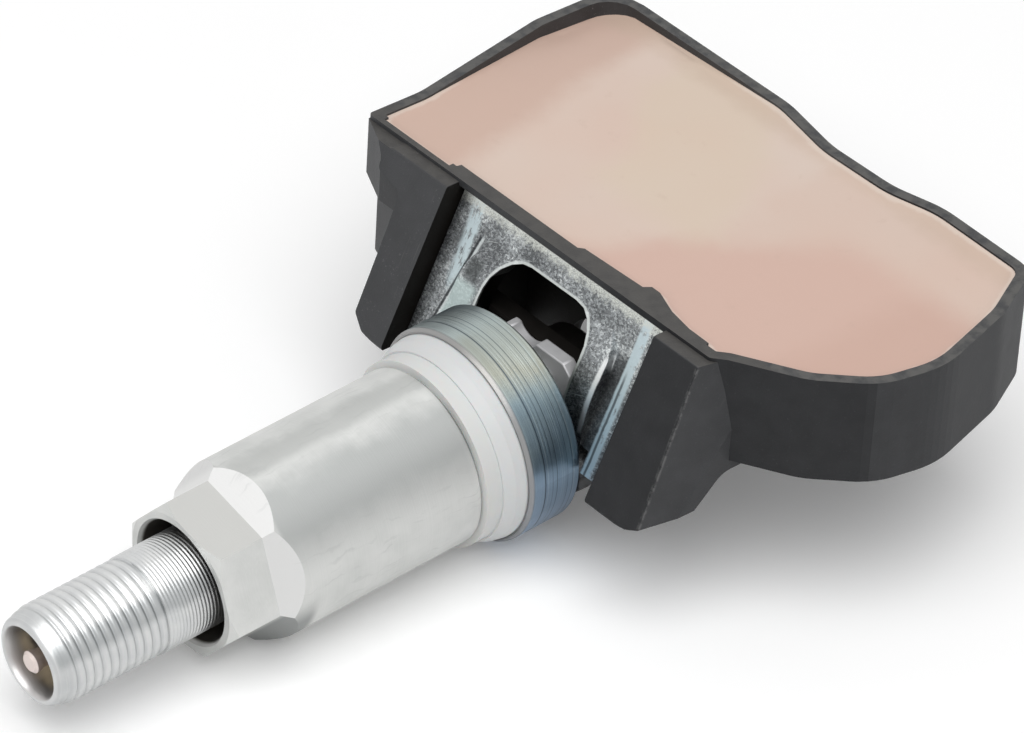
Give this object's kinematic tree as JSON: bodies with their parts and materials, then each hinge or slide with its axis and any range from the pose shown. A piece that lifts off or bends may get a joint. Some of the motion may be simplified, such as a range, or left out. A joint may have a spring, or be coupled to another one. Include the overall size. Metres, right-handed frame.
{
  "type": "tyre pressure sensor",
  "caption": "Clamp-in tyre pressure sensor: potted electronics tray that tilts on a slotted steel bracket, held to a threaded valve stem with collar, seal, washer and hex sleeve nut",
  "frame": {"origin": "On the valve's axis, in the plane where the white seal's flange meets the wheel rim", "axes": "Y runs along the valve, with the open end towards -Y; X runs across the housing; Z points from the valve's axis to the potted face of the housing"},
  "size_m": [0.052, 0.0764, 0.0207],
  "materials": {
    "stem_aluminium": "turned, with rounded threads",
    "collar_steel": "turned, blue-green passivated zinc",
    "seal_white": "smooth satin white",
    "washer_white": "smooth satin white",
    "nut_aluminium": "matte turned, bright milled flats",
    "core_brass": "machined",
    "soft_rubber": "matte",
    "spring_steel": "plain bright steel",
    "housing_plastic": "glass-filled, fine grain",
    "bracket_zinc": "spangled zinc, scuffed",
    "potting_resin": "smooth, faintly mottled",
    "board_laminate": "solder mask",
    "chip_plastic": "moulded"
  },
  "bodies": {
    "valve": {"valve_stem": "stem_aluminium", "support_collar": "collar_steel", "seal_grommet": "seal_white", "core_barrel": "core_brass", "core_gasket": "washer_white", "fixing_screw": "spring_steel", "saddle_washer": "spring_steel"},
    "washer": {"slip_washer": "washer_white"},
    "nut": {"sleeve_nut": "nut_aluminium"},
    "core": {"core_pin": "core_brass", "core_cup": "soft_rubber", "core_spring": "spring_steel"},
    "sensor": {"housing": "housing_plastic", "bracket": "bracket_zinc", "potting": "potting_resin", "circuit_board": "board_laminate", "battery": "spring_steel", "tab_upper": "spring_steel", "tab_lower": "spring_steel", "pressure_chip": "chip_plastic", "port_seal": "soft_rubber", "radio_chip": "chip_plastic", "crystal_can": "spring_steel", "wake_coil": "chip_plastic", "antenna": "core_brass", "capacitors": "chip_plastic"}
  },
  "joints": [
    {"name": "sensor_tilt", "type": "hinge", "parent": "valve", "child": "sensor", "pos_m": [0, 0.0188, 0], "axis": [1, 0, 0], "range_deg": [-3, 12]},
    {"name": "washer_slide", "type": "slide", "parent": "valve", "child": "washer", "axis": [0, -1, 0], "range_m": [0, 0.006]},
    {"name": "nut_turn", "type": "hinge", "parent": "washer", "child": "nut", "pos_m": [0, 0, 0], "axis": [0, -1, 0], "range_deg": [0, 2880]},
    {"name": "core_press", "type": "slide", "parent": "valve", "child": "core", "axis": [0, 1, 0], "range_m": [0, 0.0005], "stiffness_N_per_m": 1200, "springref_m": -0.001, "deforming": ["core_spring"]}
  ],
  "couplings": [
    {"joint": "nut_turn", "follows": "washer_slide", "rad_per_m": 8377.6}
  ]
}
